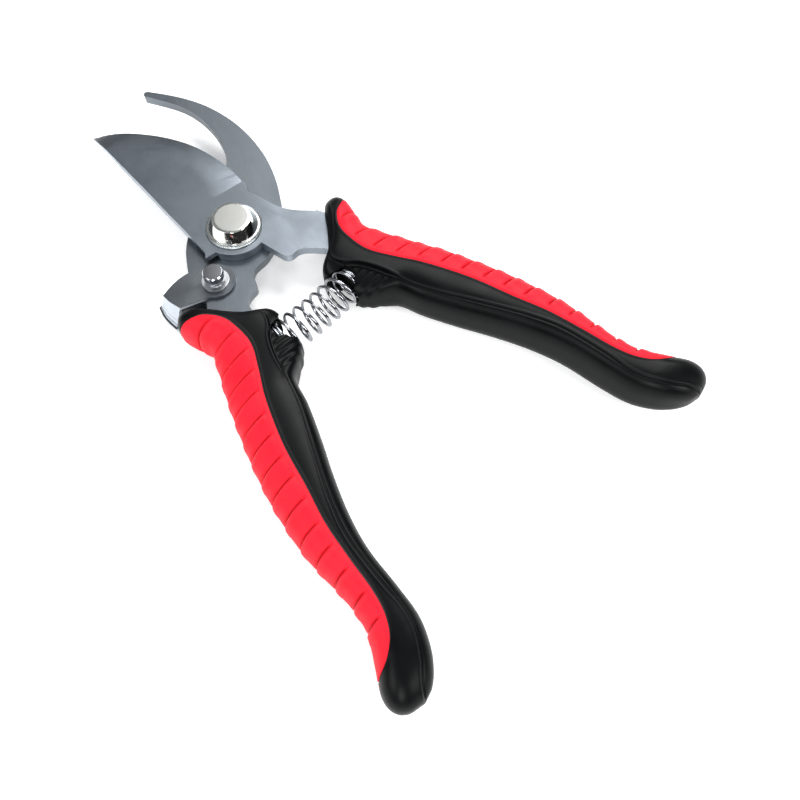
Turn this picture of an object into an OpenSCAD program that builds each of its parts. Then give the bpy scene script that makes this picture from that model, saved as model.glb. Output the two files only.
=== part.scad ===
// Bypass pruning shears, lying on their back with the handles sprung open.
// The origin is on the pivot's axis, in the plane that the shears lie on.
// The blades point to +Y, the handles to -Y, and +Z is up through the pivot's head.
// The lower handle carries the hooked counter blade, and the upper handle the cutting blade.

/* [Grips] */
// Thickness of a grip, which is the height of the lying shears
grip_t = 17; // [16:0.5:18]
// Squareness of a grip's section: 2 is an ellipse
grip_square = 2.5; // [2:0.1:3.5]
// Depth of the red inlay over the black core
inlay_t = 2.6; // [2:0.1:3.2]

/* [Blades] */
// Thickness of each blade plate
plate_t = 2.8; // [2.6:0.1:3]
// Gap between the two plates
plate_gap = 0.1; // [0.06:0.02:0.16]
// Height of the ground edge above the flat side
edge_land = 0.25; // [0.15:0.05:0.4]

/* [Pivot] */
// Radius of the pivot bolt's shank
pivot_r = 4; // [3.5:0.1:4.5]
// Radius of the washer under the pivot's head
pivot_washer_r = 8.5; // [8:0.1:8.8]
// Height of the pivot's head
pivot_head_h = 3.8; // [3:0.1:4.2]
// Width across the flats of the pivot nut
nut_af = 13; // [12:0.5:14]

/* [Catch] */
// Thickness of the catch's sheet
sheet_t = 1; // [0.8:0.1:1.1]
// Radius of the catch's ear around its pin
ear_r = 5.8; // [5.4:0.1:6]
// Radius of the catch pin's shank
pin_r = 2.3; // [2:0.1:2.5]
// Height of the catch pin's head
pin_head_h = 4; // [3:0.1:4.5]

/* [Spring] */
// Radius of the spring's coil, to the middle of the wire
coil_r = 5; // [4.8:0.1:5.2]
// Thickness of the wire
wire_d = 1; // [0.9:0.1:1.2]
// Number of turns
turns = 11; // [9:1:12]

/* [Hidden] */

$fn = 96;
eps = 0.01;

// Levels of the flat pieces
mid_z = grip_t / 2;
cut_z = mid_z + plate_gap / 2;              // underside of the cutting blade
cut_top = cut_z + plate_t;
counter_top = mid_z - plate_gap / 2;
counter_z = counter_top - plate_t;          // underside of the counter blade
fit = 0.05;                                 // radial clearance of the running fits

// Pivot
washer_t = 0.6;
pivot_flange_r = 7.9;
pivot_cone_r = 7.35;
pivot_disc_r = 5.8;
back_washer_t = 1;
nut_top = counter_z - back_washer_t;

// Catch: its pin stands on the counter blade's ear
pin_at = [-15.7, -9.9];
pin_head_r = 3.1;
pin_neck_r = 2.35;
cheek_z = counter_top + 0.1;
back_z = 1;                                 // underside of the catch's back cheek
cheek_top = cheek_z + sheet_t;
pin_washer_t = 0.3;
ring_t = 0.6;
relief_z = cheek_top + 0.15;                // roof of the relief under the tooth

// Spring seats: one in each grip's boss, tilted so that they face each other part way through the stroke
seat_at = [9.1, -38.5];
seat_tilt = 9;
seat_depth = 6;
seat_r = 6.2;
spring_end_gap = 0.3;                       // between the spring's ends and the seats' floors

// ---------------------------------------------------------------- curves
// Point at t on a Catmull-Rom span from b to c
function span_point(a, b, c, d, t) =
    0.5 * (2 * b + (c - a) * t + (2 * a - 5 * b + 4 * c - d) * t * t + (3 * b - a - 3 * c + d) * t * t * t);
// Smooth open curve through p, with n steps in each span
function curve(p, n = 5) = let (last = len(p) - 1) concat(
    [for (i = [0 : last - 1], k = [0 : n - 1])
        span_point(p[max(i - 1, 0)], p[i], p[i + 1], p[min(i + 2, last)], k / n)],
    [p[last]]);
function arc(centre, r, from, to, n = 16) =
    [for (i = [0 : n]) let (w = from + (to - from) * i / n) centre + r * [cos(w), sin(w)]];
function reversed(p) = [for (i = [len(p) - 1 : -1 : 0]) p[i]];
// Height of a smooth curve through the [position, height] pairs of p
function along(p, s) =
    let (i = max([for (k = [0 : len(p) - 2]) p[k][0] <= s ? k : 0]))
    let (a = p[i], b = p[i + 1], t = min(max((s - a[0]) / (b[0] - a[0]), 0), 1))
    let (before = p[max(i - 1, 0)], after = p[min(i + 2, len(p) - 1)], w = b[0] - a[0])
    let (ma = (b[1] - before[1]) / (b[0] - before[0]) * w, mb = (after[1] - a[1]) / (after[0] - a[0]) * w)
    (2 * t ^ 3 - 3 * t ^ 2 + 1) * a[1] + (t ^ 3 - 2 * t ^ 2 + t) * ma
        + (3 * t ^ 2 - 2 * t ^ 3) * b[1] + (t ^ 3 - t ^ 2) * mb;

// ---------------------------------------------------------------- grips
// Both sides of a grip as [distance behind the pivot, distance out from the middle of the shears]
grip_outer = [
    [13.1, 29.6], [16.4, 32], [21.3, 31.4], [27.3, 29.7], [33.2, 31.8], [41.2, 35.6], [51.1, 39.8],
    [63, 44.2], [74.9, 47.6], [88.8, 50], [104.7, 50.5], [112.6, 52.2], [119.5, 56.5], [124.5, 59.8],
    [128.5, 60.2], [131.4, 57.9], [132.4, 54]
];
grip_inner = [
    [13.1, 26.8], [16.2, 24.2], [21.6, 20.2], [27.3, 15], [30.6, 9.8], [34, 8.7], [39.5, 8.7],
    [43.5, 10.2], [46.6, 12.7], [49, 16.2], [51.6, 19.4], [59, 21.9], [68.9, 26.3], [78.9, 31.2],
    [88.8, 35.4], [98.7, 38.3], [110.6, 39.8], [118.5, 41.1], [124.5, 43.8], [128.5, 46.8], [131.4, 50.4],
    [132.4, 53.6]
];
grip_front = 13.1;
grip_back = 132.4;
grip_shift = -2.1;                          // middle line of the grips, off the pivot towards the lower grip
grip_steps = 44;
grip_sides = 24;
end_round = 7;                              // length over which the ends round over

// Half thickness of a grip at a distance behind the pivot
function grip_half(s) =
    let (d = min(s - grip_front, grip_back - s), k = 1 - min(d / end_round, 1))
    grip_t / 2 * (0.45 + 0.55 * sqrt(1 - k * k));
function station(i) =
    let (u = (1 - cos(180 * i / grip_steps)) / 2, mix = 0.6 * u + 0.4 * i / grip_steps)
    grip_front + (grip_back - grip_front) * mix;
function power(v, e) = sign(v) * pow(abs(v), e);

// Closed lofted grip, shrunk all round by inset
module grip_shape(inset = 0) {
    points = [for (i = [0 : grip_steps], k = [0 : grip_sides - 1])
        let (s = station(i), out = along(grip_outer, s) - inset, in = along(grip_inner, s) + inset)
        let (w = 360 * k / grip_sides, half = max((out - in) / 2, 0.3), h = max(grip_half(s) - inset, 0.3))
        [(out + in) / 2 + half * power(cos(w), 2 / grip_square), -s,
            mid_z + h * power(sin(w), 2 / grip_square)]];
    n = grip_sides;
    last = grip_steps * n;
    faces = concat(
        [[for (k = [0 : n - 1]) k]],
        [for (i = [0 : grip_steps - 1], k = [0 : n - 1])
            let (a = i * n + k, b = i * n + (k + 1) % n) [a, a + n, b + n, b]],
        [[for (k = [n - 1 : -1 : 0]) last + k]]);
    polyhedron(points, faces, convexity = 8);
}

// Line between the black body and the red inlay, on top and underneath
inlay_line = [
    [34, -16.4], [29.5, -18.9], [25.4, -20.9], [22.2, -25.3], [21.4, -30.3], [22, -37.2], [25.4, -44.1],
    [29.4, -51.1], [33, -59], [36, -67], [39, -77.9], [42, -87.8], [44, -98.7], [45.4, -107.6],
    [47.6, -114.1], [51.8, -118.9], [59, -121.9], [66, -122.5]
];

// Region outside the inlay line
module inlay_region(inset = 0) {
    translate([inset, 0, -1]) linear_extrude(grip_t + 2)
        polygon(concat(curve(inlay_line, 3), [[70, -122.5], [70, -16.4]]));
}

tang_outer = [[21.7, -12.7], [25, -19], [26.6, -27], [28.2, -36], [32.4, -48], [37, -60], [40.4, -70]];
tang_end = [[40, -73.4], [37, -75], [34.4, -74]];
tang_inner = [[33.4, -72], [28.5, -60], [23.8, -50], [20.4, -42], [18.2, -34], [16.2, -29], [13.8, -25.4]];

outer_lead = [12.7, 27];                    // where the tang's outer side meets the grip's middle line
inner_lead = [25.1, 32];                    // and where its inner side does
function led(p, lead, shift) = p + [min(max((-p.y - lead[0]) / (lead[1] - lead[0]), 0), 1) * shift, 0];

// Tang inside a grip, from its mouth to its rounded end, for a grip that lies shift further out
function tang(shift, grow = 0) = concat(
    curve([for (p = tang_outer) led(p, outer_lead, shift) + [grow, 0]], 3),
    [for (p = tang_end) p + [shift, -grow]],
    curve([for (p = tang_inner) led(p, inner_lead, shift) - [grow, 0]], 3));

// Blind seat of the spring, running into the boss
module seat_bore() {
    translate([seat_at.x, seat_at.y, mid_z]) rotate([0, 90, seat_tilt]) translate([0, 0, -6])
        cylinder(h = 6 + seat_depth, r = seat_r);
}

// Everything that is cut out of a grip: the plate's slot and the spring's seat
module grip_cuts(plate_z, shift) {
    translate([0, 0, plate_z - fit]) linear_extrude(plate_t + 2 * fit)
        polygon(concat([[20, -8]], tang(shift, fit), [[8, -22]]));
    translate([shift, 0, 0]) seat_bore();
}

module grip_body(plate_z, shift) {
    difference() {
        translate([shift, 0, 0]) union() {
            difference() {
                grip_shape();
                inlay_region();
            }
            intersection() {
                grip_shape(inlay_t);
                inlay_region(-1);
            }
        }
        grip_cuts(plate_z, shift);
    }
}

module grip_inlay() {
    difference() {
        intersection() {
            grip_shape();
            inlay_region();
        }
        grip_shape(inlay_t);
    }
}

module lower_grip_body() {
    color([0.07, 0.075, 0.08]) mirror([1, 0, 0]) grip_body(counter_z, -grip_shift);
}
module lower_grip_inlay() {
    color([0.93, 0.1, 0.16]) translate([grip_shift, 0, 0]) mirror([1, 0, 0]) grip_inlay();
}
module upper_grip_body() { color([0.07, 0.075, 0.08]) grip_body(cut_z, grip_shift); }
module upper_grip_inlay() { color([0.93, 0.1, 0.16]) translate([grip_shift, 0, 0]) grip_inlay(); }

// ---------------------------------------------------------------- cutting blade
blade_edge = [
    [-8, 62.7], [-3, 60.2], [1.9, 56], [7.4, 48.7], [11.2, 41.5], [13.5, 34.7], [14.7, 27.5], [15, 20.6],
    [14.6, 15.4], [13.6, 11.3]
];
// Where the ground face starts on the flat; it runs off the spine before the tip, so that the tip is thin
bevel_line = [
    [-14.5, 62.5], [-11.8, 57], [-8.4, 51.4], [-3.7, 45.4], [0.6, 38.9], [3.6, 32.2], [4.9, 26], [4.5, 21],
    [3, 16.8], [1.7, 13.2]
];
bevel_heel = [13.9, 11.8];                // where the ground edge ends
blade_shoulder = [
    [12.3, 9.15], [11.9, 7.35], [12.7, 4.95], [13.5, 0.8], [14.7, -4], [17.2, -8.3], [21.5, -13]];
blade_recess_r = 10.4;
blade_bump = [[3.3, -17.9], [3.9, -19.3], [5.5, -20.1], [7.9, -20.1], [10.5, -21.8], [13.5, -25.3]];
blade_spine = [[-13.3, -3], [-12.1, -1.1], [-11.2, 9.7], [-10.5, 21.8], [-9.8, 31.6], [-8.8, 50], [-8, 62.7]];

module blade_outline() {
    polygon(concat(
        curve(blade_edge), curve(blade_shoulder, 3), tang(grip_shift),
        reversed(curve(blade_bump, 3)), arc([0, 0], blade_recess_r, -79, -161), blade_spine));
}

// Wedge ground away above the edge: a four-cornered section for each step along it, and one ahead of the tip
module bevel_cut() {
    along_edge = curve(concat([for (i = [0 : len(blade_edge) - 2]) blade_edge[i]], [bevel_heel]), 3);
    along_line = curve(bevel_line, 3);
    lead = 2 * (along_edge[0] - along_edge[1]) / norm(along_edge[0] - along_edge[1]);
    edge = concat([along_edge[0] + lead], along_edge);
    line = concat([along_line[0] + lead], along_line);
    top = cut_top + 1;
    overshoot = 1.5;
    points = [for (i = [0 : len(edge) - 1])
        let (e = edge[i], l = line[i], w = norm(e - l), beyond = e + (e - l) * overshoot / w)
        let (slope = (plate_t - edge_land) / w, runs_out = i == len(edge) - 1)
        each [[l.x, l.y, cut_top], [l.x, l.y, top], [beyond.x, beyond.y, top],
              [beyond.x, beyond.y, runs_out ? cut_top : cut_z + edge_land - slope * overshoot]]];
    m = 4;
    last = (len(edge) - 1) * m;
    faces = concat(
        [[3, 2, 1, 0]],
        [for (i = [0 : len(edge) - 2], k = [0 : m - 1])
            let (a = i * m + k, b = i * m + (k + 1) % m) each [[a, b, b + m], [a, b + m, a + m]]],
        [[for (k = [0 : m - 1]) last + k]]);
    polyhedron(points, faces, convexity = 6);
}

// Room under the tooth for the catch's front cheek
module tooth_relief() {
    translate([0, 0, cut_z - 1]) linear_extrude(relief_z - cut_z + 1)
        polygon([[-16, -5], [-9.6, -5], [-9.4, -2.6], [-11, 1.9], [-11.3, 4.2], [-16, 4.2]]);
}

module cutting_blade() {
    color([0.66, 0.68, 0.7]) difference() {
        translate([0, 0, cut_z]) linear_extrude(plate_t) blade_outline();
        bevel_cut();
        tooth_relief();
        translate([0, 0, cut_z - 1]) cylinder(h = plate_t + 2, r = pivot_r + fit);
    }
}

// ---------------------------------------------------------------- counter blade
hook_outer = [
    [17.3, -1.2], [21.2, 4.9], [24.2, 10.9], [26.7, 17.6], [28.5, 25.7], [29.2, 33.8], [28.8, 40.9],
    [27.5, 48.1], [25, 55.1], [21.7, 61.5], [18.1, 67.2]
];
hook_inner = [
    [15.9, 66.3], [18.7, 60.6], [21, 55.2], [22.2, 50.4], [22.6, 44.7], [22.1, 38.6], [20.8, 33],
    [18.7, 28], [15.9, 23.6], [11.5, 19.5], [4.9, 16.4]
];
hook_tip = [17, 66.75];
hook_tip_r = 1.2;
counter_left = [
    [-5, 14.6], [-11.6, 8.8], [-14.4, 6], [-16.4, 3.4], [-19.2, -1], [-21.5, -6], [-22.2, -10], [-21.7, -12.7]
];
counter_right = [
    [-14.6, -24.6], [-13.8, -21.8], [-11.6, -20.5], [-8.9, -20], [-7.6, -18.4], [-6.4, -15.6], [-4, -14.1],
    [0.8, -13.6], [8.6, -10.2], [14.1, -5.7]
];

module counter_blade() {
    color([0.5, 0.52, 0.55]) difference() {
        translate([0, 0, counter_z]) linear_extrude(plate_t) polygon(concat(
            curve(hook_outer), arc(hook_tip, hook_tip_r, 25, 205, 8), curve(hook_inner),
            curve(counter_left, 3), [for (p = tang(-grip_shift)) [-p.x, p.y]], curve(counter_right, 3)));
        translate([0, 0, counter_z - 1]) cylinder(h = plate_t + 2, r = pivot_r + fit);
        translate([pin_at.x, pin_at.y, counter_z - 1]) cylinder(h = plate_t + 2, r = pin_r + fit);
    }
}

// ---------------------------------------------------------------- pivot
module pivot_bolt() {
    head_z = cut_top + washer_t;
    color([0.85, 0.85, 0.84]) {
        rotate_extrude() polygon([
            [0, head_z], [pivot_flange_r, head_z], [pivot_flange_r, head_z + 0.35],
            [pivot_cone_r, head_z + 0.5], [pivot_disc_r, head_z + pivot_head_h], [0, head_z + pivot_head_h]]);
        cylinder(h = head_z + eps, r = pivot_r);
    }
}

module ring(z, t, outer, inner) {
    translate([0, 0, z]) difference() {
        cylinder(h = t, r = outer);
        translate([0, 0, -1]) cylinder(h = t + 2, r = inner);
    }
}

module pivot_top_washer() {
    color([0.75, 0.76, 0.76]) ring(cut_top, washer_t, pivot_washer_r, pivot_r + fit);
}
module pivot_back_washer() { color([0.7, 0.7, 0.7]) ring(nut_top, back_washer_t, 8, pivot_r + fit); }

module pivot_nut() {
    corner_r = nut_af / sqrt(3);
    color([0.7, 0.71, 0.72]) difference() {
        intersection() {
            cylinder(h = nut_top, r = corner_r, $fn = 6);
            cylinder(h = nut_top, r1 = nut_af / 2 - 0.3, r2 = nut_af / 2 - 0.3 + nut_top * 1.7);
        }
        translate([0, 0, -1]) cylinder(h = nut_top + 2, r = pivot_r);
    }
}

// ---------------------------------------------------------------- catch
// Each cheek is an ear and an arm that widens to the thumb web, which leans out from front cheek to back
front_web = [[-29.8, -3.2], [-29.7, -6.6], [-29, -10]];
front_lead = [[-15.2, -4.1], [-18, -2.6], [-21.6, -1.9], [-25.6, -2.1], [-29.8, -3.2]];
front_trail = [[-29, -10], [-26.6, -10.9], [-23.6, -12], [-20.4, -13.4]];
back_web = [[-31.6, -0.2], [-32.7, -4.6], [-32.7, -9.8]];
back_lead = [[-15.2, -4.1], [-18, -2.2], [-21.6, -0.6], [-26.4, 0.2], [-31.6, -0.2]];
back_trail = [[-32.7, -9.8], [-28.4, -11.6], [-24, -12.6], [-20.4, -13.4]];
web_inset = 0.2;
web_share = 0.94;

module cheek(z, lead, web, trail) {
    translate([0, 0, z]) linear_extrude(sheet_t) difference() {
        union() {
            translate(pin_at) circle(r = ear_r);
            polygon(concat(curve(lead, 3), curve(web, 3), curve(trail, 3), [pin_at]));
        }
        translate(pin_at) circle(r = pin_r + fit);
    }
}

// Outline of the web's section at one cheek, kept just inside that cheek's own outline
function web_ring(web, z) = let (out = curve(web, 3), mid = web[1].y) [
    for (p = concat(out, [for (q = reversed(out)) q + [sheet_t, 0]]))
        [p.x + web_inset, mid + (p.y - mid) * web_share, z]];

module web() {
    low = web_ring(back_web, back_z + web_inset);
    n = len(low);
    faces = concat(
        [[for (k = [0 : n - 1]) k]],
        [for (k = [0 : n - 1]) let (j = (k + 1) % n) each [[k, k + n, j + n], [k, j + n, j]]],
        [[for (k = [n - 1 : -1 : 0]) k + n]]);
    polyhedron(concat(low, web_ring(front_web, cheek_top - web_inset)), faces, convexity = 4);
}

module catch() {
    color([0.62, 0.64, 0.66]) {
        cheek(cheek_z, front_lead, front_web, front_trail);
        cheek(back_z, back_lead, back_web, back_trail);
        web();
    }
}

pin_washer_z = cheek_top;
pin_head_z = pin_washer_z + pin_washer_t;
module catch_pin() {
    tail_z = 0.2;
    color([0.8, 0.8, 0.81]) translate(pin_at) {
        translate([0, 0, tail_z]) cylinder(h = pin_head_z - tail_z + eps, r = pin_r);
        rotate_extrude() polygon([
            [0, pin_head_z], [pin_neck_r, pin_head_z], [pin_neck_r, pin_head_z + 0.5],
            [pin_head_r, pin_head_z + 1.9], [pin_head_r, pin_head_z + pin_head_h - 0.5],
            [pin_head_r - 0.5, pin_head_z + pin_head_h], [0, pin_head_z + pin_head_h]]);
    }
}
module catch_pin_washer() {
    color([0.7, 0.7, 0.7]) translate(pin_at) ring(pin_washer_z, pin_washer_t, 4, pin_r + fit);
}
module catch_spacer() {
    z = back_z + sheet_t;
    color([0.6, 0.6, 0.6]) translate(pin_at) ring(z, counter_z - z, 4.4, pin_r + fit);
}
module catch_pin_ring() {
    color([0.6, 0.6, 0.6]) translate(pin_at) ring(back_z - ring_t, ring_t, 3.8, pin_r);
}

// ---------------------------------------------------------------- spring
spring_sides = 8;
turn_steps = 20;

module spring() {
    half = seat_at.x + (seat_depth - spring_end_gap - wire_d / 2) * cos(seat_tilt);
    ends_y = seat_at.y + (seat_depth - spring_end_gap) * sin(seat_tilt);
    bow_r = half / sin(seat_tilt);
    steps = turns * turn_steps;
    // Frames along the bowed axis: bow is the axis's direction, w the turn around it
    points = [for (i = [0 : steps], k = [0 : spring_sides - 1])
        let (bow = seat_tilt * (2 * i / steps - 1), w = 360 * i / turn_steps, s = 360 * k / spring_sides)
        let (centre = [bow_r * sin(bow), ends_y - bow_r * (cos(bow) - cos(seat_tilt)), mid_z])
        let (side = [-sin(bow), cos(bow), 0], fore = [cos(bow), sin(bow), 0], up = [0, 0, 1])
        let (spoke = side * cos(w) + up * sin(w))
        centre + spoke * (coil_r + wire_d / 2 * cos(s)) + fore * wire_d / 2 * sin(s)];
    n = spring_sides;
    last = steps * n;
    faces = concat(
        [[for (k = [0 : n - 1]) k]],
        [for (i = [0 : steps - 1], k = [0 : n - 1])
            let (a = i * n + k, b = i * n + (k + 1) % n) each [[a, a + n, b + n], [a, b + n, b]]],
        [[for (k = [n - 1 : -1 : 0]) last + k]]);
    color([0.75, 0.76, 0.78]) translate([grip_shift, 0, 0]) polyhedron(points, faces, convexity = 20);
}

cutting_blade();
counter_blade();
pivot_bolt();
pivot_top_washer();
pivot_back_washer();
pivot_nut();
catch();
catch_pin();
catch_pin_washer();
catch_spacer();
catch_pin_ring();
spring();
lower_grip_body();
lower_grip_inlay();
upper_grip_body();
upper_grip_inlay();
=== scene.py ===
"""Bypass pruning shears lying open on a pale floor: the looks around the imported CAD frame.

Lengths in the tables are in millimetres of the row frame: X across the shears, Y towards the blades,
Z up, with the origin on the pivot's axis. A grip is described on the +X side by b, the distance behind
the pivot, and a, the distance out from the middle; the lower grip is its mirror image.
"""

import math

import bmesh
import bpy
import numpy as np
from mathutils import Matrix, Vector


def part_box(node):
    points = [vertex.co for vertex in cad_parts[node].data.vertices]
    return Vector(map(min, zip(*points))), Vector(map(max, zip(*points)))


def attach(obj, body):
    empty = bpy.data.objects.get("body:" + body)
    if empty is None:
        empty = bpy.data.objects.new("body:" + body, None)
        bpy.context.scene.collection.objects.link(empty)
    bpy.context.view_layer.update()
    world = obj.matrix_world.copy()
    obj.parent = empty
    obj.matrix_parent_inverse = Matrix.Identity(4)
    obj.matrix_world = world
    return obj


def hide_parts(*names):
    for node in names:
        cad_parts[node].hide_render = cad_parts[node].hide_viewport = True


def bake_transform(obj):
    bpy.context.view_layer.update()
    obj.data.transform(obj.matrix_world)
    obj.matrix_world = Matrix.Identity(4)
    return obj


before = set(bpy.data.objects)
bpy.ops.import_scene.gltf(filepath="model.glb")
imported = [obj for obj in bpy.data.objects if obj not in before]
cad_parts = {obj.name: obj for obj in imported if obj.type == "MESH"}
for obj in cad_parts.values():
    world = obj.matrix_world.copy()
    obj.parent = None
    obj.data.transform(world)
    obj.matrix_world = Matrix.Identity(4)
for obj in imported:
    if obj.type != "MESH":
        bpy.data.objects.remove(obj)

MM = 0.001
TAU = 2 * math.pi

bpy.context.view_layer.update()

# ------------------------------------------------------------------ levels shared by the pieces, in mm
MID_Z = 8.5      # middle plane of the grips and the spring
BLADE_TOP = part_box("cutting_blade")[1].z / MM
WASHER_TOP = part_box("pivot_top_washer")[1].z / MM
PIN_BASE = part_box("catch_pin_washer")[1].z / MM
PIN_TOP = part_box("catch_pin")[1].z / MM
PIN_AT = (-15.7, -9.9)      # axis of the catch pin


# ------------------------------------------------------------------ node helpers
class Shader:
    """A material's node tree with short calls for the nodes that the finishes share."""

    def __init__(self, name):
        self.material = bpy.data.materials.new(name)
        self.material.use_nodes = True
        self.tree = self.material.node_tree
        self.tree.nodes.clear()
        self.out = self.add("ShaderNodeOutputMaterial")
        self.bsdf = self.add("ShaderNodeBsdfPrincipled")
        self.link(self.bsdf.outputs["BSDF"], self.out.inputs["Surface"])
        self.place = self.add("ShaderNodeTexCoord").outputs["Object"]
        self.normal = self.add("ShaderNodeTexCoord").outputs["Normal"]

    def add(self, kind, **settings):
        node = self.tree.nodes.new(kind)
        for key, value in settings.items():
            setattr(node, key, value)
        return node

    def link(self, a, b):
        self.tree.links.new(a, b)

    def set(self, **values):
        """Values on the shader's own sockets; an underscore stands for a space."""
        for key, value in values.items():
            self.bsdf.inputs[key.replace("_", " ")].default_value = value

    def stretched(self, scale, turn=0.0):
        """Object coordinates turned about Z by turn degrees, then scaled."""
        turned = self.add("ShaderNodeMapping")
        turned.inputs["Rotation"].default_value[2] = math.radians(turn)
        self.link(self.place, turned.inputs["Vector"])
        scaled = self.add("ShaderNodeMapping")
        scaled.inputs["Scale"].default_value = scale
        self.link(turned.outputs["Vector"], scaled.inputs["Vector"])
        return scaled.outputs["Vector"]

    def noise(self, vector=None, scale=1.0, detail=3.0, rough=0.55):
        node = self.add("ShaderNodeTexNoise")
        node.inputs["Scale"].default_value = scale
        node.inputs["Detail"].default_value = detail
        node.inputs["Roughness"].default_value = rough
        self.link(vector or self.place, node.inputs["Vector"])
        return node.outputs["Fac"]

    def spread(self, value, low, high, start=0.3, end=0.7):
        """value from start..end mapped onto low..high."""
        node = self.add("ShaderNodeMapRange")
        node.inputs["From Min"].default_value = start
        node.inputs["From Max"].default_value = end
        node.inputs["To Min"].default_value = low
        node.inputs["To Max"].default_value = high
        self.link(value, node.inputs["Value"])
        return node.outputs["Result"]

    def height_of(self, vector):
        """The Z part of a vector."""
        parts = self.add("ShaderNodeSeparateXYZ")
        self.link(vector, parts.inputs["Vector"])
        return parts.outputs["Z"]

    def maths(self, operation, a, b=None):
        node = self.add("ShaderNodeMath", operation=operation)
        for socket, value in zip(node.inputs, (a, b)):
            if isinstance(value, (int, float)):
                socket.default_value = value
            elif value is not None:
                self.link(value, socket)
        return node.outputs["Value"]

    def mix(self, factor, a, b):
        """Colour a where factor is 0 and b where it is 1."""
        node = self.add("ShaderNodeMix", data_type="RGBA")
        for name, kind, value in (("Factor", "VALUE", factor), ("A", "RGBA", a), ("B", "RGBA", b)):
            socket = next(s for s in node.inputs if s.name == name and s.type == kind)
            if isinstance(value, tuple):
                socket.default_value = (*value, 1.0)
            else:
                self.link(value, socket)
        return next(s for s in node.outputs if s.type == "RGBA")

    def attribute(self, name):
        node = self.add("ShaderNodeAttribute", attribute_name=name)
        return node.outputs["Fac"]

    def bump(self, *layers):
        """Bumps stacked on each other; each layer is a height and its distance in metres."""
        normal = None
        for height, distance in layers:
            node = self.add("ShaderNodeBump")
            node.inputs["Distance"].default_value = distance
            self.link(height, node.inputs["Height"])
            if normal is not None:
                self.link(normal, node.inputs["Normal"])
            normal = node.outputs["Normal"]
        self.link(normal, self.bsdf.inputs["Normal"])

    def colour(self, socket):
        self.link(socket, self.bsdf.inputs["Base Color"])

    def roughness(self, socket):
        self.link(socket, self.bsdf.inputs["Roughness"])


RIDGE_PITCH = 1.5      # of the ridges on the catch's web, in mm


def shade(colour, factor):
    return tuple(c * factor for c in colour)


def satin_steel(name, base, rough, turn, ground=None, cut=1.6, ridges=False):
    """Satin steel with fine streaks, turned by turn degrees, and cloudy handling marks.

    Faces tilted a little off the flat are honed darker, with lines turned by ground degrees. Steep sides are
    cut times as bright as base, a painted reflection of the pale floor and lamps, and ridges gives them
    level ridges.
    """
    s = Shader(name)
    streaks = s.noise(s.stretched((5200, 260, 900), turn), 1.0, 4.0, 0.65)
    grain = s.noise(scale=5200, detail=2.0)
    clouds = s.noise(scale=95, detail=3.0)
    scuffs = s.noise(s.stretched((420, 2600, 420), turn + 24), 1.0, 5.0, 0.7)
    tone = s.mix(s.spread(streaks, 0, 1), shade(base, 0.9), shade(base, 1.09))
    tone = s.mix(s.spread(clouds, 0, 0.45, 0.42, 0.62), tone, shade(base, 0.84))
    tone = s.mix(s.spread(scuffs, 0, 0.35, 0.64, 0.74), tone, shade(base, 1.25))
    finish = s.spread(clouds, rough - 0.05, rough + 0.07)
    facing = s.height_of(s.normal)
    if ground is not None:
        tilted = s.spread(facing, 1, 0, 0.9855, 0.9975)
        upward = s.spread(facing, 0, 1, 0.9, 0.94)
        zone = s.maths("MULTIPLY", tilted, upward)
        lines = s.noise(s.stretched((3600, 180, 600), ground), 1.0, 3.0, 0.6)
        hone = s.mix(s.spread(lines, 0, 1), shade(base, 0.74), shade(base, 0.92))
        tone = s.mix(zone, tone, hone)
    steep = s.spread(s.maths("ABSOLUTE", facing), 1, 0, 0.45, 0.8)
    # painted reflection: steep sides are lightened cut times, standing in for the pale floor and lamps they
    # face
    tone = s.mix(steep, tone, shade(base, cut))
    s.colour(tone)
    s.roughness(finish)
    s.set(Metallic=1.0, Anisotropic=0.25)
    layers = [(streaks, 0.000012), (grain, 0.000008)]
    if ridges:
        wave = s.maths("SINE", s.maths("MULTIPLY", s.height_of(s.place), TAU / (RIDGE_PITCH * MM)))
        layers.append((s.maths("MULTIPLY", wave, steep), 0.00005))
    s.bump(*layers)
    return s.material


def bright_metal(name, base, rough, top_rough=None, top=1.0):
    """Polished plating with faint polishing marks and a slight orange peel.

    With top_rough, faces that look straight up are satin and top times as bright as base.
    """
    s = Shader(name)
    peel = s.noise(scale=620, detail=2.0)
    marks = s.noise(s.stretched((2600, 2600, 7000)), 1.0, 4.0, 0.6)
    tone = s.mix(s.spread(peel, 0, 1), shade(base, 0.93), shade(base, 1.04))
    finish = s.spread(marks, rough * 0.7, rough * 1.5)
    if top_rough is not None:
        flat = s.spread(s.height_of(s.normal), 0, 1, 0.96, 0.995)
        tone = s.mix(flat, tone, shade(base, top))
        satin = s.spread(marks, top_rough * 0.85, top_rough * 1.2)
        finish = s.maths("ADD", s.maths("MULTIPLY", satin, flat),
                         s.maths("MULTIPLY", finish, s.maths("SUBTRACT", 1, flat)))
    s.colour(tone)
    s.roughness(finish)
    s.set(Metallic=1.0)
    s.bump((peel, 0.000006), (marks, 0.000002))
    return s.material


def black_plastic():
    """Satin moulded plastic: fine spark-eroded texture, with a painted highlight along the inlay's edge and
    the crease.
    """
    s = Shader("black_plastic_moulded")
    grain = s.noise(scale=3400, detail=3.0)
    clouds = s.noise(scale=120, detail=3.0)
    tone = s.mix(s.spread(clouds, 0, 1), (0.0008, 0.001, 0.0012), (0.002, 0.0023, 0.0026))
    # painted highlight: the rim mask lightens the black along the inlay's line and the crease
    tone = s.mix(s.maths("MULTIPLY", s.attribute("rim"), 0.75), tone, (0.05, 0.052, 0.055))
    s.colour(tone)
    s.roughness(s.spread(clouds, 0.33, 0.42))
    s.set(Specular_IOR_Level=0.09)
    s.bump((grain, 0.000014))
    return s.material


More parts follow.
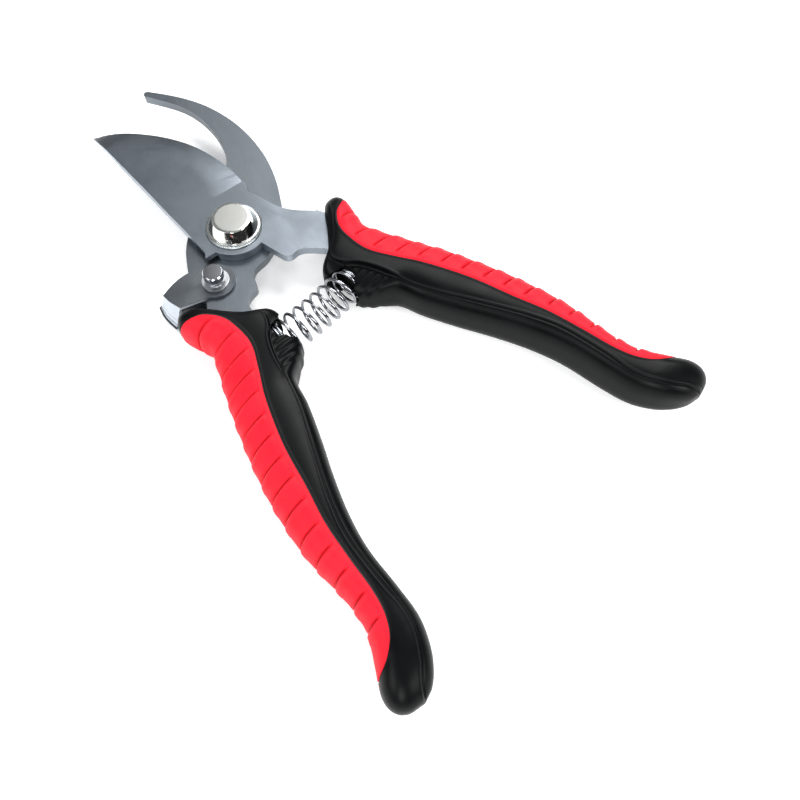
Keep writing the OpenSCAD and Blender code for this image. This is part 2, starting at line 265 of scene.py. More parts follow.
def red_rubber():
    """Soft red rubber with a fine matte grain, painted shade in the grooves and at the ribs' steps, and
    paler along the crests.
    """
    s = Shader("red_rubber_ribbed")
    grain = s.noise(scale=2800, detail=4.0)
    clouds = s.noise(scale=140, detail=3.0)
    tone = s.mix(s.spread(clouds, 0, 1), (0.84, 0.009, 0.022), (0.93, 0.013, 0.029))
    # painted shade: the groove mask darkens the red in the grooves and along each rib's step
    tone = s.mix(s.attribute("groove"), tone, (0.36, 0.003, 0.008))
    # paler along the rib crests
    tone = s.mix(s.maths("MULTIPLY", s.attribute("crest"), 0.5), tone, (1.0, 0.024, 0.042))
    s.colour(tone)
    s.roughness(s.spread(clouds, 0.5, 0.6))
    s.set(Specular_IOR_Level=0.12, Subsurface_Weight=0.05, Subsurface_Scale=0.001)
    s.bump((grain, 0.00002))
    return s.material


# ------------------------------------------------------------------ mesh helpers
def new_piece(name, verts, faces, material, attributes=None):
    mesh = bpy.data.meshes.new(name)
    mesh.from_pydata([tuple(v) for v in verts], [], faces)
    for key, values in (attributes or {}).items():
        mesh.attributes.new(key, "FLOAT", "POINT").data.foreach_set("value", np.asarray(values, np.float32))
    mesh.materials.append(material)
    piece = bpy.data.objects.new(name, mesh)
    bpy.context.scene.collection.objects.link(piece)
    return piece


def tidy_mesh(piece, merge=2e-6):
    """Merges points that coincide, drops what has no area and turns every face outwards."""
    mesh = bmesh.new()
    mesh.from_mesh(piece.data)
    bmesh.ops.remove_doubles(mesh, verts=mesh.verts, dist=merge)
    bmesh.ops.dissolve_degenerate(mesh, dist=merge / 2, edges=mesh.edges)
    bmesh.ops.recalc_face_normals(mesh, faces=mesh.faces)
    mesh.to_mesh(piece.data)
    mesh.free()


def smooth_shading(piece, angle):
    """Smooth shading that stays sharp at edges over angle degrees."""
    piece.data.shade_smooth()
    piece.data.set_sharp_from_angle(angle=math.radians(angle))


def smooth_flats(piece, angle):
    """Smooth shading that keeps large flat faces flat."""
    smooth_shading(piece, angle)
    piece.modifiers.new("flat_faces", "WEIGHTED_NORMAL").keep_sharp = True


def settle(piece, body, slot, *nodes):
    """Puts a piece under the body it moves with and hides the CAD nodes it stands for; slot is not used."""
    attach(piece, body)
    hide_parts(*nodes)
    return piece


SAME_PLANE = math.radians(0.6)      # CAD facets within this of each other become one face
ARRIS = math.radians(28)            # edges sharper than this are broken


def refined(node, name, material, width, soft=None, soft_width=0.0):
    """The CAD node's own shape with its arrises broken. soft picks edges that get the wider soft_width."""
    mesh = bmesh.new()
    mesh.from_mesh(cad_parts[node].data)
    bmesh.ops.remove_doubles(mesh, verts=mesh.verts, dist=1e-6)
    bmesh.ops.dissolve_limit(mesh, angle_limit=SAME_PLANE, verts=mesh.verts, edges=mesh.edges)

    def sharp():
        return [e for e in mesh.edges if e.is_manifold and e.calc_face_angle() > ARRIS]

    if soft is not None:
        chosen = [e for e in sharp() if soft(e.verts[0].co / MM, e.verts[1].co / MM)]
        bmesh.ops.bevel(mesh, geom=chosen, offset=soft_width * MM, segments=6, profile=0.5,
                        affect="EDGES", clamp_overlap=True)
    bmesh.ops.bevel(mesh, geom=sharp(), offset=width * MM, segments=2, profile=0.6,
                    affect="EDGES", clamp_overlap=True)
    bmesh.ops.recalc_face_normals(mesh, faces=mesh.faces)
    data = bpy.data.meshes.new(name)
    mesh.to_mesh(data)
    mesh.free()
    data.materials.append(material)
    piece = bpy.data.objects.new(name, data)
    bpy.context.scene.collection.objects.link(piece)
    smooth_flats(piece, 32)
    return piece


def lathe(name, profile, material, centre=(0, 0), sides=144, ripple=None):
    """A turned piece from a profile of (radius, height) in mm.

    It closes on the axis where the profile's ends have radius 0, and is a ring where they don't.
    ripple(radius, height, angle) gives a height to add.
    """
    rings, verts = [], []
    for radius, height in profile:
        if radius == 0:
            rings.append([len(verts)])
            verts.append((centre[0] * MM, centre[1] * MM, height * MM))
            continue
        rings.append(list(range(len(verts), len(verts) + sides)))
        for k in range(sides):
            w = TAU * k / sides
            z = height + (ripple(radius, height, w) if ripple else 0)
            x, y = centre[0] + radius * math.cos(w), centre[1] + radius * math.sin(w)
            verts.append((x * MM, y * MM, z * MM))
    faces = []
    for low, high in zip(rings, rings[1:] + ([rings[0]] if len(rings[0]) > 1 else [])):
        for k in range(sides):
            a, b = low[k % len(low)], low[(k + 1) % len(low)]
            c, d = high[(k + 1) % len(high)], high[k % len(high)]
            face = list(dict.fromkeys((a, b, c, d)))
            if len(face) > 2:
                faces.append(face)
    piece = new_piece(name, verts, faces, material)
    tidy_mesh(piece, 1e-7)
    smooth_flats(piece, 30)
    return piece


def rounded(corner_before, corner, corner_after, radius):
    """Points of a small arc that rounds a profile's corner."""
    p, q, r = (np.array(v, float) for v in (corner_before, corner, corner_after))
    a = q + (p - q) / np.linalg.norm(p - q) * radius
    b = q + (r - q) / np.linalg.norm(r - q) * radius
    return [tuple((1 - t) ** 2 * a + 2 * t * (1 - t) * q + t * t * b) for t in np.linspace(0, 1, 5)]


def rounded_profile(corners, radius):
    """A profile whose inner corners are rounded by radius; the ends stay where they are."""
    made = [corners[0]]
    for before, corner, after in zip(corners, corners[1:], corners[2:]):
        made += rounded(before, corner, after, radius)
    return made + [corners[-1]]


# ------------------------------------------------------------------ grips
# Lines along a grip as (b, a) points: its two sides, the edge of the red inlay and the crease inside it
GRIP_OUTER = [
    (13.1, 29.6), (16.4, 32), (21.3, 31.4), (27.3, 29.7), (33.2, 31.8), (41.2, 35.6), (51.1, 39.8),
    (63, 44.2), (74.9, 47.6), (88.8, 50), (104.7, 50.5), (112.6, 52.2), (119.5, 56.5), (124.5, 59.8),
    (128.5, 60.2), (131.4, 57.9), (132.4, 54)]
GRIP_INNER = [
    (13.1, 26.8), (16.2, 24.2), (21.6, 20.2), (27.3, 15), (30.6, 9.8), (34, 8.7), (39.5, 8.7),
    (43.5, 10.2), (46.6, 12.7), (49, 16.2), (51.6, 19.4), (59, 21.9), (68.9, 26.3), (78.9, 31.2),
    (88.8, 35.4), (98.7, 38.3), (110.6, 39.8), (118.5, 41.1), (124.5, 43.8), (128.5, 46.8), (131.4, 50.4),
    (132.4, 53.6)]
INLAY_LINE = [
    (16.4, 34), (18.9, 29.5), (20.9, 25.4), (25.3, 22.2), (30.3, 21.4), (37.2, 22), (44.1, 25.4),
    (51.1, 29.4), (59, 33), (67, 36), (77.9, 39), (87.8, 42), (98.7, 44), (107.6, 45.4), (114.1, 47.6),
    (118.9, 51.8), (121.9, 59), (122.5, 66)]
CREASE = [
    (13.1, 28.2), (16.6, 26.4), (21.8, 22.4), (27.3, 17.6), (30.8, 13.2), (35.2, 14.2), (38.7, 17.2),
    (44.4, 20), (52.5, 22.4), (59.9, 25.2), (68.9, 29.7), (77.3, 34), (84.9, 37.6), (93.3, 40.6),
    (101.8, 42), (108.7, 42.7), (114.7, 43.1), (119.7, 44.6), (125.2, 48.1), (128.7, 51.3), (130.8, 52.9),
    (132.4, 53.8)]
GRIP_FRONT, GRIP_BACK = GRIP_OUTER[0][0], GRIP_OUTER[-1][0]
GRIP_HALF = 8.0                        # half thickness
GRIP_SHIFT = -2.1                      # middle line of the grips, off the pivot towards the lower grip
TRIM = 0.04                            # keeps the sides just inside the CAD's outline
THIN = 0.012                           # least half size of a section, at the grip's ends
FRONT_ROUND, BACK_ROUND = 9.0, 13.0    # length over which each end rounds over
OUTER_POWER, INNER_POWER = 2.25, 3.3   # squareness of the section's outer and inner sides

GROOVES = [23.6, 31.05, 37.7, 43.8, 49.35, 55.5, 61.2, 67.45, 73.4, 79.65, 86.5, 92.7, 99.3, 106.2, 112.5]
LAST_PITCH = 6.6                       # length of the rib behind the last groove
GROOVE_HALF = 0.34
GROOVE_DEPTH = 0.42
RIB_HEIGHT = 0.4

SINK = 1.3                             # how far the black core lies below the surface under the red inlay
INLAY_DEPTH = 1.25                     # thickness of the inlay
SHELF_DEPTH = 1.7                      # how much lower the boss's top lies than the grip's
BOSS_RIDGE_PITCH = 2.1

# Stretches of b over which a feature starts, is full, starts to end and ends
SHELF = (30.5, 36.0, 46.0, 52.0)
BOSS_RIDGES = (36.5, 38.5, 47.5, 49.5)
RIBBED = (19, 24, 117.5, 122.5)
CREASED = (15.2, 19, 132.2, 133.9)

# Spring seat in the upper grip's boss; the lower grip's is its mirror image
SEAT_AT = (9.1, -38.5)                 # its mouth's centre, off the grips' middle line
SEAT_TILT = 9.0                        # degrees
SEAT_DEPTH = 6.0
SEAT_R = 6.2


def along(pairs, s):
    """Height at s of the smooth curve through (position, height) pairs, as the CAD draws it."""
    x, y = np.array(pairs, float).T
    s = np.asarray(s, float)
    i = np.clip(np.searchsorted(x, s, side="right") - 1, 0, len(x) - 2)
    before, after = np.maximum(i - 1, 0), np.minimum(i + 2, len(x) - 1)
    w = x[i + 1] - x[i]
    t = np.clip((s - x[i]) / w, 0, 1)
    ma = (y[i + 1] - y[before]) / (x[i + 1] - x[before]) * w
    mb = (y[after] - y[i]) / (x[after] - x[i]) * w
    return ((2 * t**3 - 3 * t**2 + 1) * y[i] + (t**3 - 2 * t**2 + t) * ma
            + (3 * t**2 - 2 * t**3) * y[i + 1] + (t**3 - t**2) * mb)


def ease(x, low, high):
    """A smooth step from 0 at low to 1 at high."""
    t = np.clip((np.asarray(x, float) - low) / (high - low), 0, 1)
    return t * t * (3 - 2 * t)


def window(x, stretch):
    """1 over the middle of a stretch, with smooth ends."""
    start, full, fading, end = stretch
    return ease(x, start, full) * (1 - ease(x, fading, end))


def swell(x, middle, width):
    """A soft peak of height 1 at middle."""
    return np.exp(-(((x - middle) / width) ** 2))


def grip_half(b):
    """Half thickness of the grip at b; both ends round over to nothing."""
    front = 1 - np.clip((b - GRIP_FRONT) / FRONT_ROUND, 0, 1)
    back = 1 - np.clip((GRIP_BACK - b) / BACK_ROUND, 0, 1)
    return GRIP_HALF * np.sqrt(np.maximum(1 - front**3.2, 0)) * np.sqrt(np.maximum(1 - back**2.4, 0))


LEAST_STEP = 0.055      # sections closer than this are left out


def stations():
    """Values of b of the grip's sections: close at both ends, at the grooves and on the boss."""
    made = [GRIP_FRONT + 0.004, GRIP_BACK - 0.004]
    made += [GRIP_FRONT + 8.4 * (k / 22) ** 2 + 0.01 for k in range(1, 23)]
    made += [GRIP_BACK - 10.9 * (k / 24) ** 2 - 0.01 for k in range(1, 25)]
    # the whole length, the boss's ridges, and the inlay's front and back ends
    runs = ((23.4, 123.2, 0.62), (34.0, 50.0, 0.21), (17.2, 18.9, 0.15), (122.2, 123.6, 0.12))
    for start, end, step in runs:
        made += list(np.arange(start, end, step))
    made += [groove + d for groove in GROOVES for d in
             (-0.6, -0.42, -0.3, -0.18, -0.06, 0.06, 0.18, 0.3, 0.42, 0.6)]
    made = sorted(made)
    kept = [made[0]]
    for b in made[1:]:
        if b - kept[-1] > LEAST_STEP or b == made[-1]:
            kept.append(b)
    return np.array(kept)


class Section:
    """Upper half of the grip's section at b, by arc length from the outer side over the top to the inner.

    line and crease are the arc lengths of the inlay's edge and of the crease. line is 0 past the inlay.
    """

    ANGLES = np.linspace(0, math.pi, 721)

    def __init__(self, b):
        out, inn = float(along(GRIP_OUTER, b)) - TRIM, float(along(GRIP_INNER, b))
        h = max(float(grip_half(b)), THIN)
        middle, half = (out + inn) / 2, max((out - inn) / 2, THIN)
        c, s = np.cos(self.ANGLES), np.sin(self.ANGLES)
        power = np.where(self.ANGLES < math.pi / 2, OUTER_POWER, INNER_POWER)
        self.a = middle + half * np.sign(c) * np.abs(c) ** (2 / power)
        self.z = h * np.abs(s) ** (2 / power)
        self.arc = np.concatenate([[0], np.cumsum(np.hypot(np.diff(self.a), np.diff(self.z)))])
        self.total = self.arc[-1]
        inlaid = INLAY_LINE[0][0] < b < INLAY_LINE[-1][0]
        self.line = self.at_a(float(along(INLAY_LINE, b))) if inlaid else 0.0
        self.crease = self.at_a(float(along(CREASE, b)))
        self.crease = min(max(self.crease, self.line + 0.06 * self.total), 0.94 * self.total)
        self.h = h
        self.width = out - inn

    def at_a(self, a):
        """Arc length where the section is at distance a; 0 where a is beyond the outer side."""
        return float(np.interp(-a, -self.a, self.arc))

    def point(self, arc):
        return np.interp(arc, self.arc, self.a), np.interp(arc, self.arc, self.z)


def rib_relief(b, edge):
    """Height of the ribbing at b, a mask for the painted shade in its grooves and at its steps, and how far
    it is on a crest.

    edge is the distance to the inlay's line, where the ribs fade out. Each rib rises behind its groove,
    falls off towards the next one, and has a small step down a third of the way along.
    """
    grooves = np.array(GROOVES)
    k = np.clip(np.searchsorted(grooves, b, side="right") - 1, 0, len(grooves) - 1)
    pitch = np.append(np.diff(grooves), LAST_PITCH)[k]
    f = (b - grooves[k]) / pitch
    ribbed = (b > grooves[0] - 0.001).astype(float) * window(b, RIBBED)
    rib = RIB_HEIGHT * ease(f, 0.02, 0.12) * (1 - 0.82 * ease(f, 0.12, 1.0))
    step = -0.1 * window(f, (0.33, 0.38, 0.5, 0.9))
    near = np.min(np.abs(b[..., None] - grooves), axis=-1)
    groove = np.exp(-((near / GROOVE_HALF) ** 2) * 1.1)
    fade = ease(edge, 0.9, 2.6)
    crest = swell(f, 0.13, 0.07) * ribbed * fade
    # step_line marks a thin line of painted shade at each rib's step
    step_line = swell(f, 0.37, 0.035) * 0.28 * ribbed
    height = (rib + step) * ribbed * fade - GROOVE_DEPTH * groove * fade
    return height, np.clip(groove + step_line, 0, 1) * fade, crest


def loft(name, rings, material, attributes):
    """Closed solid through rings of the same number of points; both ends are capped."""
    count = rings.shape[1]
    verts = rings.reshape(-1, 3)
    faces = []
    for i in range(len(rings) - 1):
        a = i * count
        for k in range(count):
            n = (k + 1) % count
            faces.append((a + k, a + count + k, a + count + n, a + n))
    faces.append(tuple(range(count)))
    faces.append(tuple((len(rings) - 1) * count + k for k in range(count)))
    piece = new_piece(name, verts, faces, material, {k: v.ravel() for k, v in attributes.items()})
    tidy_mesh(piece)
    smooth_shading(piece, 50)
    return piece


def outward(grid, around):
    """Outward unit normals of a grid of rows, from its differences along b and those given around it."""
    normal = np.cross(around, np.gradient(grid, axis=0))
    return normal / np.maximum(np.linalg.norm(normal, axis=-1, keepdims=True), 1e-12)


def column(sections, name):
    """One property of every section, as a column that goes with a grid's rows."""
    return np.array([getattr(s, name) for s in sections])[:, None]


def half_rows(sections, rows):
    """(a, z) of the half section at the arc lengths rows[i], for every section."""
    points = np.array([s.point(r) for s, r in zip(sections, rows)])
    return points[:, 0], points[:, 1]


def both_halves(upper):
    """Rows of the upper half, and then the same rows of the lower half backwards."""
    return np.concatenate([upper, upper[:, ::-1]], axis=1)


def grip_grid(bs, sections, rows):
    """Grid of rings (stations, around, xyz) in mm on the +X side, with the arc length of every point."""
    a, z = half_rows(sections, rows)
    ring_a, ring_arc = both_halves(a), both_halves(rows)
    ring_z = np.concatenate([z, -z[:, ::-1]], axis=1)
    grid = np.stack([ring_a, -np.repeat(bs[:, None], ring_a.shape[1], 1), ring_z + MID_Z], -1)
    return grid, ring_arc


def share(low, high, steps, end=False):
    """Even steps from low towards high, which is among them if end is true."""
    return low + (high - low) * np.linspace(0, 1, steps, endpoint=end)


UNDER_ROWS = 7      # rows of the core that lie under the inlay


def core_rows(section):
    """Arc lengths of the core's rows: under the inlay, then the lip, the top, the crease and the wall."""
    s = section
    lip = min(0.9, 0.1 * s.total)
    crease_half = min(1.0, 0.06 * s.total)
    low, high = s.crease - crease_half, s.crease + crease_half * 1.5
    under = share(0, s.line, UNDER_ROWS)
    lips = share(s.line, s.line + lip, 6)
    top = share(s.line + lip, low, 13)
    bend = share(low, high, 20)
    wall = share(high, s.total, 21, end=True)
    return np.concatenate([under, [s.line], lips, np.maximum(top, s.line), bend, wall])


def grip_core(name, side, material):
    """Black body of a grip: a closed core, sunk under the inlay, with its crease, boss and spring seat."""
    bs = stations()
    sections = [Section(b) for b in bs]
    rows = np.maximum.accumulate([core_rows(s) for s in sections], axis=1)
    grid, arc = grip_grid(bs, sections, rows)
    line = column(sections, "line")
    b = np.repeat(bs[:, None], arc.shape[1], 1)
    past_crease, past_line = arc - column(sections, "crease"), arc - line

    # the boss's top lies lower than the grip's, from the crease inwards
    shelf = SHELF_DEPTH * window(b, SHELF) + 0.22
    drop = shelf * ease(past_crease, -0.1, 0.75) * ease(column(sections, "total"), 6, 16)
    height = grid[..., 2] - MID_Z
    grid[..., 2] = MID_Z + height * (1 - drop / np.maximum(np.abs(height).max(axis=1, keepdims=True), 0.5))

    normal = outward(grid, (np.roll(grid, -1, axis=1) - np.roll(grid, 1, axis=1)) / 2)
    # the crease is a fine valley with a lip before it, and a lip runs along the inlay's line in the same way
    creased = window(b, CREASED) * ease(column(sections, "width"), 3, 8)
    lined = (line > 0.05).astype(float)
    relief = (0.1 * swell(past_crease, -0.34, 0.34) - 0.3 * swell(past_crease, 0.38, 0.26)) * creased
    relief += (0.07 * swell(past_line, 0.6, 0.25) - 0.22 * swell(past_line, 0, 0.3)) * lined
    saw = np.abs(((b - BOSS_RIDGES[0]) / BOSS_RIDGE_PITCH) % 1 * 2 - 1) * 2 - 1
    relief += 0.16 * saw * window(b, BOSS_RIDGES) * ease(past_crease, 0.9, 1.8)
    sunk = np.zeros_like(arc)
    sunk[:, :UNDER_ROWS] = 1
    sunk[:, -UNDER_ROWS:] = 1
    depth = np.minimum(np.minimum(SINK, 0.3 * column(sections, "h")), line * 0.8)
    relief = relief * (1 - sunk) - depth * sunk
    grid += normal * relief[..., None]
    # rim is a painted highlight mask: a thin pale line along the inlay's line and a fainter one just before
    # the crease
    rim = swell(past_line, 0.16, 0.2) * lined * (1 - sunk) + 0.16 * swell(past_crease, -0.25, 0.2) * creased

    grid[..., 0] = grid[..., 0] * side + GRIP_SHIFT
    piece = loft(name, grid * MM, material, {"rim": rim})
    cut_seat(piece, side)
    return piece


def inlay_rows(section):
    """Arc lengths over the inlay's outer face, from the middle of the outer side to the line."""
    edge = section.line - min(1.4, 0.5 * section.line)
    return np.concatenate([share(0, edge, 22), share(edge, section.line, 9, end=True)])


def grip_inlay(name, side, material):
    """Red inlay of a grip: a closed curved slab with shingled ribs, rounded down to the core at its line."""
    bs = stations()
    sections = [Section(b) for b in bs]
    kept = [i for i, s in enumerate(sections) if s.line > 0.08]
    bs, sections = bs[kept], [sections[i] for i in kept]
    rows = np.array([inlay_rows(s) for s in sections])
    a, z = half_rows(sections, rows)
    upper = np.stack([a, -np.repeat(bs[:, None], a.shape[1], 1), z + MID_Z], -1)
    lower = upper.copy()
    lower[..., 2] = 2 * MID_Z - lower[..., 2]
    # one open strip from the lower line round the outer side to the upper line
    strip = np.concatenate([lower[:, :0:-1], upper], axis=1)
    arc = np.concatenate([rows[:, :0:-1], rows], axis=1)
    line = column(sections, "line")
    b = np.repeat(bs[:, None], arc.shape[1], 1)
    normal = outward(strip, np.gradient(strip, axis=1))
    edge = line - arc
    ribs, groove, crest = rib_relief(b, edge)
    ends = ease(line, 0.3, 3)
    # it stands a little proud of the core, and dips below it at the line
    proud = 0.14 * ease(edge, 0.15, 0.9) - 0.16 * (1 - ease(edge, 0.0, 0.35))
    face = strip + normal * ((ribs + proud) * ends)[..., None]
    depth = np.minimum(np.minimum(INLAY_DEPTH, 0.28 * column(sections, "h")), line * 0.75)
    inner = strip - normal * depth[..., None]
    rings = np.concatenate([face, inner[:, ::-1]], axis=1)
    # groove carries the painted shade mask of the grooves and steps to the material
    zero = np.zeros_like(groove)
    groove = np.concatenate([groove * ends, zero], axis=1)
    crest = np.concatenate([crest * ends, zero], axis=1)
    rings[..., 0] = rings[..., 0] * side + GRIP_SHIFT
    return loft(name, rings * MM, material, {"groove": groove, "crest": crest})


def cut_seat(piece, side):
    """Cuts the spring's blind seat into the boss, with a chamfered mouth and a rounded floor."""
    profile = [(0, -7), (7.6, -7), (7.4, -1.2), (SEAT_R + 0.35, 0.5), (SEAT_R, 1.0),
               (SEAT_R, SEAT_DEPTH - 0.5), (SEAT_R - 0.5, SEAT_DEPTH), (0, SEAT_DEPTH)]
    cutter = lathe("seat_cutter", profile, piece.data.materials[0], sides=72)
    tilt = math.radians(SEAT_TILT)
    turn = Matrix.Rotation(tilt, 4, "Z") @ Matrix.Rotation(math.pi / 2, 4, "Y")
    place = Matrix.Translation(Vector((SEAT_AT[0], SEAT_AT[1], MID_Z)) * MM) @ turn
    if side < 0:
        place = Matrix.Diagonal((-1, 1, 1, 1)) @ place
    place = Matrix.Translation(Vector((GRIP_SHIFT * MM, 0, 0))) @ place
    cutter.data.transform(place)
    tidy_mesh(cutter, 1e-7)
    cut = piece.modifiers.new("seat", "BOOLEAN")
    cut.operation, cut.solver, cut.object = "DIFFERENCE", "EXACT", cutter
    bpy.context.view_layer.update()
    made = bpy.data.meshes.new_from_object(piece.evaluated_get(bpy.context.evaluated_depsgraph_get()))
    piece.modifiers.clear()
    piece.data = made
    bpy.data.objects.remove(cutter)
    smooth_shading(piece, 50)


# ------------------------------------------------------------------ spring
def spring(material):
    """Drawn wire coil between the seats: open turns, closed ones at both ends, on a slightly bowed axis."""
    coil_r, wire_r, gap = 5.0, 0.48, 0.3
    turns, closed, first_turn = 10.7, 1.6, 0.6
    steps_per_turn, sides = 40, 12
    tilt = math.radians(SEAT_TILT)
    half = SEAT_AT[0] + (SEAT_DEPTH - gap - wire_r) * math.cos(tilt)
    ends_y = SEAT_AT[1] + (SEAT_DEPTH - gap) * math.sin(tilt)
    bow_r = half / math.sin(tilt)
    length = 2 * bow_r * tilt
    # how far along the axis each turn has come
    u = np.linspace(0, turns, int(turns * steps_per_turn) + 1)
    end_pitch = wire_r * 2 * 1.03
    free_pitch = (length - 2 * closed * end_pitch) / (turns - 2 * closed)
    in_ends = np.minimum(u, closed) + np.maximum(u - (turns - closed), 0)
    run = in_ends * end_pitch + (u - in_ends) * free_pitch
    bow = (run / length * 2 - 1) * tilt
    level = np.zeros_like(bow)
    sag = bow_r * (np.cos(bow) - math.cos(tilt))
    centre = np.stack([bow_r * np.sin(bow), ends_y - sag, level + MID_Z], -1)
    # the wire's middle line, and a round section square to it
    w = (u * TAU + first_turn)[:, None]
    across = np.stack([-np.sin(bow), np.cos(bow), level], -1)
    out = across * np.cos(w) + np.array([0, 0, 1.0]) * np.sin(w)
    spine = centre + coil_r * out
    forward = np.gradient(spine, axis=0)
    forward /= np.linalg.norm(forward, axis=-1, keepdims=True)
    out -= forward * np.sum(out * forward, -1, keepdims=True)
    out /= np.linalg.norm(out, axis=-1, keepdims=True)
    third = np.cross(forward, out)
    rings = np.stack([spine + wire_r * (out * math.cos(TAU * k / sides) + third * math.sin(TAU * k / sides))
                      for k in range(sides)], 1)
    rings[..., 0] += GRIP_SHIFT
    piece = loft("spring_coil", rings * MM, material, {})
    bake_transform(piece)
    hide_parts("spring")
    return piece


# ------------------------------------------------------------------ pivot and pin
def pivot_head(material):
    """Riveted pivot bolt: flat satin disc, polished cone and a thin flange, with its shank and back end."""
    z = WASHER_TOP
    corners = [(0, z + 3.78), (4.9, z + 3.76), (5.75, z + 3.62), (7.3, z + 0.62), (7.4, z + 0.34),
               (7.85, z + 0.3), (7.88, z), (4, z), (4, 0.35), (3.6, 0.02), (0, 0.02)]
    return lathe("pivot_bolt_turned", rounded_profile(corners, 0.09), material)


def pivot_ring(material):
    """Washer under the head, with a fine knurl round its rim."""
    teeth, tooth_height = 84, 0.09
    z0, z1 = BLADE_TOP, WASHER_TOP
    rim = (8.02, 8.38)
    corners = [(4.05, z0), (4.05, z1), (7.95, z1), (rim[0], z1 - 0.1), (rim[1], z1 - 0.1),
               (8.5, z1 - 0.25), (8.5, z0)]

    def knurl(radius, height, angle):
        return tooth_height * (abs((angle * teeth / TAU) % 1 * 2 - 1) - 0.5) if radius in rim else 0

    return lathe("pivot_ring_knurled", corners, material, sides=6 * teeth, ripple=knurl)


def catch_pin(material):
    """Tall pin: flat top, polished band and a taper down to its washer."""
    corners = [(0, PIN_TOP - 0.01), (2.7, PIN_TOP - 0.04), (3.08, PIN_TOP - 0.45), (3.08, PIN_TOP - 2.1),
               (2.36, PIN_BASE + 0.55), (2.33, PIN_BASE), (2.3, PIN_BASE - 0.1), (2.3, 0.5), (2.0, 0.22),
               (0, 0.22)]
    return lathe("catch_pin_turned", rounded_profile(corners, 0.08), material, centre=PIN_AT, sides=96)


# ------------------------------------------------------------------ build
# cut sets the painted reflection on each part's steep sides; the catch's web gets the most
blade_steel = satin_steel("blade_steel_satin", (0.152, 0.17, 0.19), 0.38, 8, ground=-52, cut=2.2)
counter_steel = satin_steel("counter_steel_satin", (0.108, 0.12, 0.132), 0.4, 30, cut=1.5)
catch_steel = satin_steel("catch_steel_satin", (0.105, 0.114, 0.124), 0.36, 70, cut=4.4, ridges=True)
zinc = satin_steel("zinc_satin", (0.5, 0.51, 0.52), 0.36, 0)
pivot_plate = bright_metal("pivot_plating", (0.74, 0.74, 0.7), 0.06, 0.32, 0.52)
ring_plate = bright_metal("ring_plating", (0.3, 0.32, 0.33), 0.26)
pin_plate = bright_metal("pin_plating", (0.42, 0.43, 0.46), 0.1, 0.42, 0.26)
wire = bright_metal("spring_wire_drawn", (0.3, 0.31, 0.33), 0.13)
black = black_plastic()
red = red_rubber()


def finish_cad(node, look, material, width, body, slot, **soft):
    """A CAD node with its arrises broken, as a piece named after the node and its look."""
    settle(refined(node, node + "_" + look, material, width, **soft), body, slot, node)


def outer_web_edge(p, q):
    """Whether the edge from p to q, in mm, is a level one at the outer side of the catch's thumb web."""
    return max(p.x, q.x) < -28.6 and abs(p.z - q.z) < 0.2


finish_cad("cutting_blade", "ground", blade_steel, 0.14, "upper_handle", "blade_steel")
finish_cad("counter_blade", "stamped", counter_steel, 0.22, "lower_handle", "counter_steel")
finish_cad("catch", "folded", catch_steel, 0.14, "thumb_catch", "catch_steel",
           soft=outer_web_edge, soft_width=0.8)
settle(pivot_head(pivot_plate), "lower_handle", "bright_plate", "pivot_bolt")
settle(pivot_ring(ring_plate), "lower_handle", "bright_plate", "pivot_top_washer")
finish_cad("pivot_back_washer", "plain", zinc, 0.12, "lower_handle", "zinc_steel")
finish_cad("pivot_nut", "hex", zinc, 0.18, "lower_handle", "zinc_steel")
settle(catch_pin(pin_plate), "lower_handle", "pin_plate", "catch_pin")
finish_cad("catch_pin_washer", "plain", zinc, 0.06, "lower_handle", "zinc_steel")
finish_cad("catch_spacer", "turned", zinc, 0.15, "lower_handle", "zinc_steel")
finish_cad("catch_pin_ring", "plain", zinc, 0.1, "lower_handle", "zinc_steel")
spring(wire)
for grip, side in (("lower", -1), ("upper", 1)):
    core = grip_core(grip + "_grip_core", side, black)
    settle(core, grip + "_handle", "black_plastic", grip + "_grip_body")
    inlay = grip_inlay(grip + "_grip_ribbed", side, red)
    settle(inlay, grip + "_handle", "red_rubber", grip + "_grip_inlay")


# ------------------------------------------------------------------ stage, light and camera
def floor():
    s = Shader("pale_floor")
    cloud = s.noise(scale=6, detail=2.0)
    s.colour(s.mix(s.spread(cloud, 0, 1), (0.9, 0.9, 0.9), (0.92, 0.92, 0.92)))
    s.set(Roughness=0.75, Specular_IOR_Level=0.2, Emission_Color=(1, 1, 1, 1), Emission_Strength=0.3)
    half = 4.0
    verts = [(-half, -half, 0), (half, -half, 0), (half, half, 0), (-half, half, 0)]
    piece = new_piece("floor", verts, [(0, 1, 2, 3)], s.material)


LIT = Vector((0, -0.03, 0))      # where the softboxes point


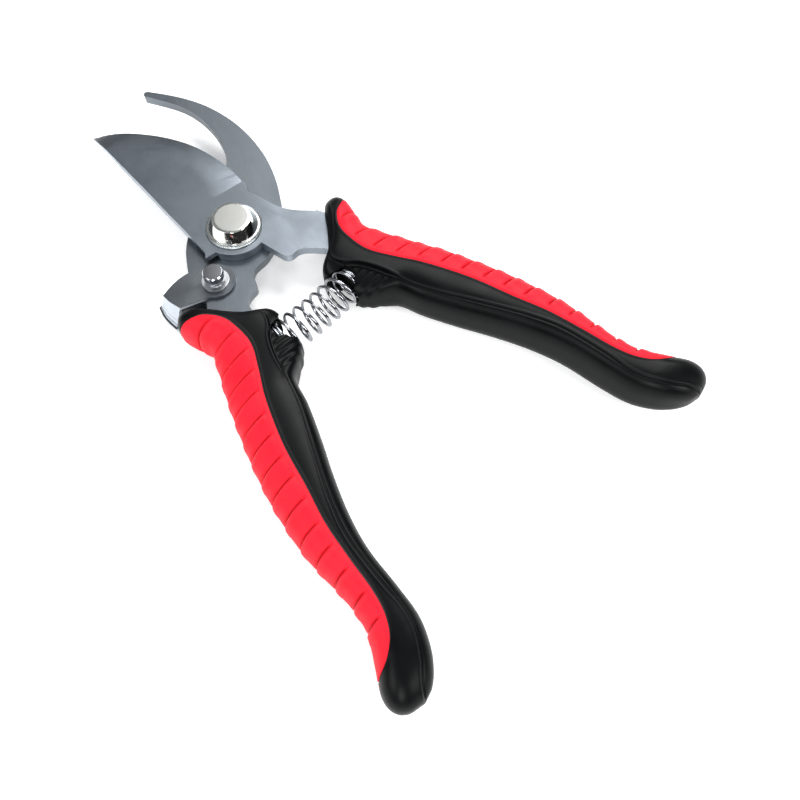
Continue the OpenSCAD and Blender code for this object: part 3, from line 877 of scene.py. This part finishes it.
def softbox(name, at, size, watts):
    data = bpy.data.lights.new(name, "AREA")
    data.shape, data.size, data.size_y, data.energy = "RECTANGLE", size[0], size[1], watts
    lamp = bpy.data.objects.new(name, data)
    lamp.location = at
    lamp.rotation_euler = (LIT - Vector(at)).to_track_quat("-Z", "Y").to_euler()
    bpy.context.scene.collection.objects.link(lamp)


def studio():
    world = bpy.data.worlds.new("studio")
    world.use_nodes = True
    tree = world.node_tree
    back = tree.nodes["Background"]
    back.inputs["Color"].default_value = (0.93, 0.97, 1.0, 1)
    # a dim room up to the height of the lamps, and a pale ceiling
    height = tree.nodes.new("ShaderNodeSeparateXYZ")
    tree.links.new(tree.nodes.new("ShaderNodeTexCoord").outputs["Generated"], height.inputs["Vector"])
    rise = tree.nodes.new("ShaderNodeMapRange")
    for key, value in (("From Min", 0.1), ("From Max", 0.45), ("To Min", 0.03), ("To Max", 0.42)):
        rise.inputs[key].default_value = value
    tree.links.new(height.outputs["Z"], rise.inputs["Value"])
    tree.links.new(rise.outputs["Result"], back.inputs["Strength"])
    bpy.context.scene.world = world
    softbox("key_overhead_right", (1.5, 0.7, 1.9), (1.5, 1.5), 72)
    softbox("fill_left", (-2.0, 0.4, 1.6), (1.4, 1.2), 34)
    softbox("front_right", (0.5, -2.0, 1.3), (0.7, 1.0), 30)
    softbox("front_left", (-1.6, -1.5, 1.5), (0.7, 1.0), 30)


def camera():
    """The photograph's view: 64 degrees down, from behind the handles and on the lower grip's side."""
    pitch, heading = math.radians(63.9), math.radians(44.41)
    data = bpy.data.cameras.new("view")
    data.lens, data.sensor_width = 33.36, 36.0
    data.clip_start, data.clip_end = 0.01, 20
    cam = bpy.data.objects.new("view", data)
    cam.location = (-0.0684, -0.13675, 0.1883)
    level = math.cos(pitch)
    ahead = Vector((math.cos(heading) * level, math.sin(heading) * level, -math.sin(pitch)))
    cam.rotation_euler = ahead.to_track_quat("-Z", "Y").to_euler()
    bpy.context.scene.collection.objects.link(cam)
    bpy.context.scene.camera = cam


floor()
studio()
camera()
bpy.context.scene.view_settings.view_transform = "Standard"
